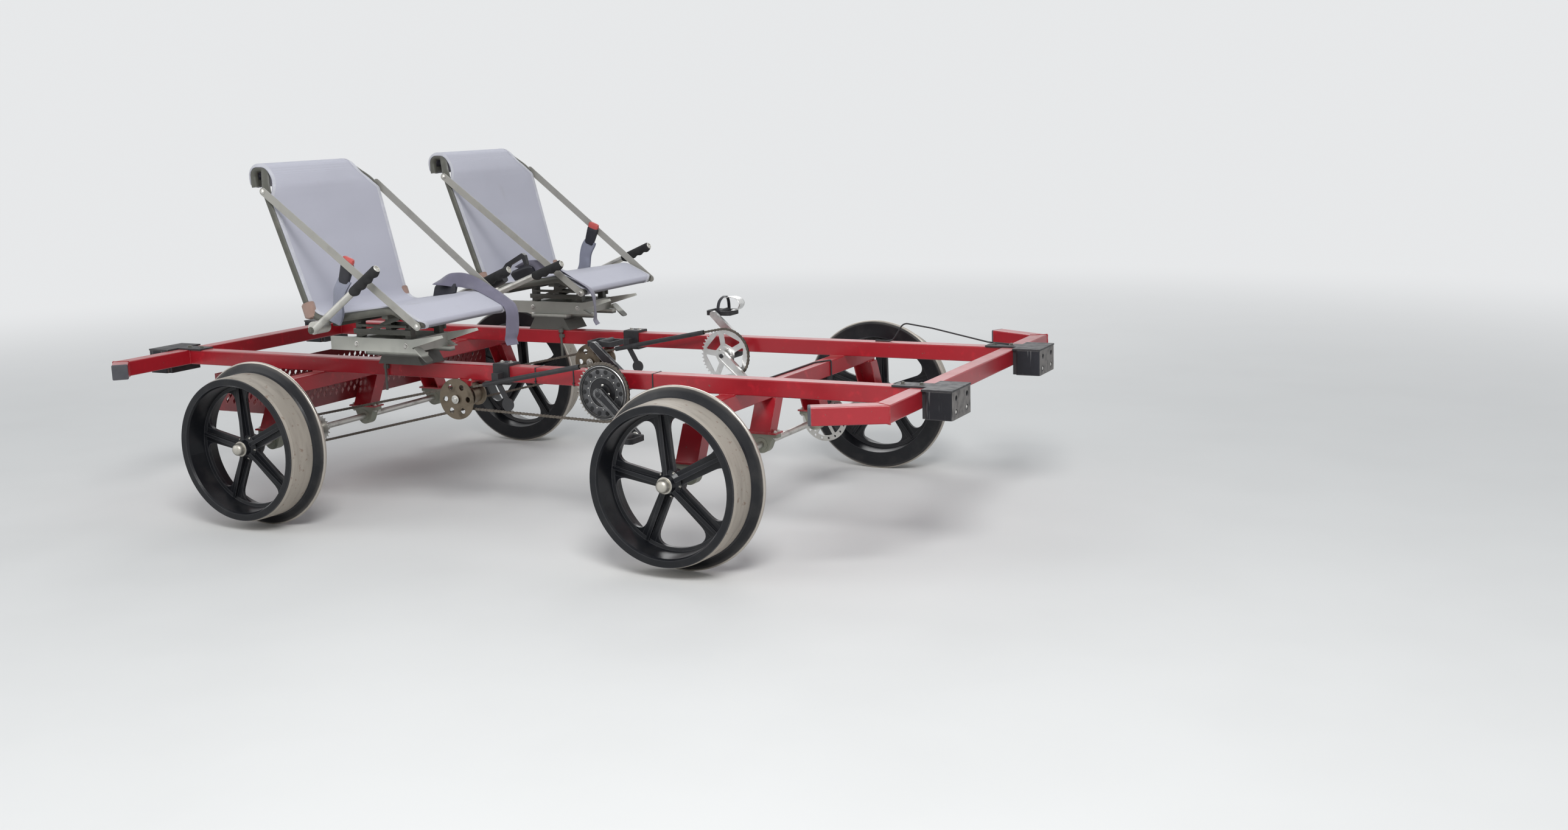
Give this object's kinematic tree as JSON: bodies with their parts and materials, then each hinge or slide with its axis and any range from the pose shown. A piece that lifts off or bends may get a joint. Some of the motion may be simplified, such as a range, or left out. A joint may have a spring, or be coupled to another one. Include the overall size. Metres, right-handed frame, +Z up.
{
  "type": "pedal rail bike",
  "caption": "Two-seat pedal rail bike: square-tube frame on flanged rail wheels, side-by-side mesh seats, chain drives and block bumpers.",
  "frame": {"origin": "midway between the axles, on the plane under the wheel flanges", "axes": "+X points forward along the track, +Y to the left, +Z up"},
  "size_m": [2.97, 1.628, 1.1482],
  "materials": {
    "arm_dark": "satin",
    "arm_silver": "satin",
    "belt_web": "matte",
    "buckle_black": "satin",
    "bumper_black": "matte",
    "bumper_plate": "satin",
    "cap_grey": "matte",
    "cast_olive": "satin",
    "chain_steel": "satin",
    "frame_red": "gloss",
    "grip_foam": "matte",
    "guide_black": "matte",
    "hub_metal": "satin",
    "lever_black": "satin",
    "mesh_grey": "matte",
    "pedal_black": "matte",
    "ring_black": "satin",
    "ring_silver": "satin",
    "seat_tube": "satin",
    "slide_grey": "satin",
    "stay_silver": "satin",
    "steel": "satin",
    "tray_red": "satin",
    "wheel_black": "satin"
  },
  "bodies": {
    "chassis": {"axle_frame_front": "frame_red", "axle_frame_rear": "frame_red", "bearings_front": "cast_olive", "bearings_rear": "cast_olive", "belt_buckles": "buckle_black", "belt_webbing": "belt_web", "bottom_brackets": "ring_black", "brake_cables": "guide_black", "brake_caliper": "lever_black", "brake_lever": "lever_black", "bumper_front_left": "bumper_black", "bumper_front_right": "bumper_black", "bumper_plates_front": "bumper_plate", "bumper_plates_rear": "bumper_plate", "bumper_rear_left": "bumper_black", "bumper_rear_right": "bumper_black", "chain_guides": "guide_black", "chains_left": "chain_steel", "chains_right": "chain_steel", "crossmember_front": "frame_red", "crossmember_rear": "frame_red", "grips": "grip_foam", "handles": "stay_silver", "hub_brackets": "frame_red", "main_rail_left": "frame_red", "main_rail_right": "frame_red", "perforated_tray": "tray_red", "seat_frame_left": "seat_tube", "seat_frame_right": "seat_tube", "seat_levers": "slide_grey", "seat_slide_left": "slide_grey", "seat_slide_right": "slide_grey", "seat_sling_left": "mesh_grey", "seat_sling_right": "mesh_grey", "seat_stays": "stay_silver", "wing_caps": "cap_grey", "wings_front": "frame_red", "wings_rear": "frame_red"},
    "front_wheelset": {"axle_front": "steel", "wheel_front_left": "wheel_black", "wheel_front_right": "wheel_black", "brake_disc": "steel"},
    "rear_wheelset": {"axle_rear": "steel", "wheel_rear_left": "wheel_black", "wheel_rear_right": "wheel_black"},
    "sprocket_right": {"axle_sprocket_right": "steel"},
    "sprocket_left": {"axle_sprocket_left": "steel"},
    "crankset_right": {"crank_right": "arm_dark", "chainring_right": "ring_black", "pedals_right": "pedal_black"},
    "crankset_left": {"crank_left": "arm_silver", "chainring_left": "ring_silver", "pedals_left": "pedal_black"},
    "hub_right": {"mid_hub_right": "hub_metal"},
    "hub_left": {"mid_hub_left": "hub_metal"}
  },
  "joints": [
    {"name": "front_axle_spin", "type": "hinge", "parent": "chassis", "child": "front_wheelset", "pos_m": [0.77, 0, 0.264], "axis": [0, 1, 0], "continuous": true},
    {"name": "rear_axle_spin", "type": "hinge", "parent": "chassis", "child": "rear_wheelset", "pos_m": [-0.77, 0, 0.264], "axis": [0, 1, 0], "continuous": true},
    {"name": "crank_spin_right", "type": "hinge", "parent": "chassis", "child": "crankset_right", "pos_m": [0.37, -0.387, 0.445], "axis": [0, 1, 0], "continuous": true},
    {"name": "hub_spin_right", "type": "hinge", "parent": "chassis", "child": "hub_right", "pos_m": [-0.167, -0.387, 0.399], "axis": [0, 1, 0], "continuous": true},
    {"name": "sprocket_spin_right", "type": "hinge", "parent": "chassis", "child": "sprocket_right", "pos_m": [-0.77, -0.433, 0.264], "axis": [0, 1, 0], "continuous": true},
    {"name": "crank_spin_left", "type": "hinge", "parent": "chassis", "child": "crankset_left", "pos_m": [0.37, 0.387, 0.445], "axis": [0, 1, 0], "continuous": true},
    {"name": "hub_spin_left", "type": "hinge", "parent": "chassis", "child": "hub_left", "pos_m": [-0.167, 0.387, 0.399], "axis": [0, 1, 0], "continuous": true},
    {"name": "sprocket_spin_left", "type": "hinge", "parent": "chassis", "child": "sprocket_left", "pos_m": [-0.77, 0.341, 0.264], "axis": [0, 1, 0], "continuous": true}
  ],
  "couplings": [
    {"joint": "hub_spin_right", "follows": "crank_spin_right", "ratio": 3.1429},
    {"joint": "sprocket_spin_right", "follows": "crank_spin_right", "ratio": 2.5714},
    {"joint": "hub_spin_left", "follows": "crank_spin_left", "ratio": 3.1429},
    {"joint": "sprocket_spin_left", "follows": "crank_spin_left", "ratio": 2.5714}
  ]
}
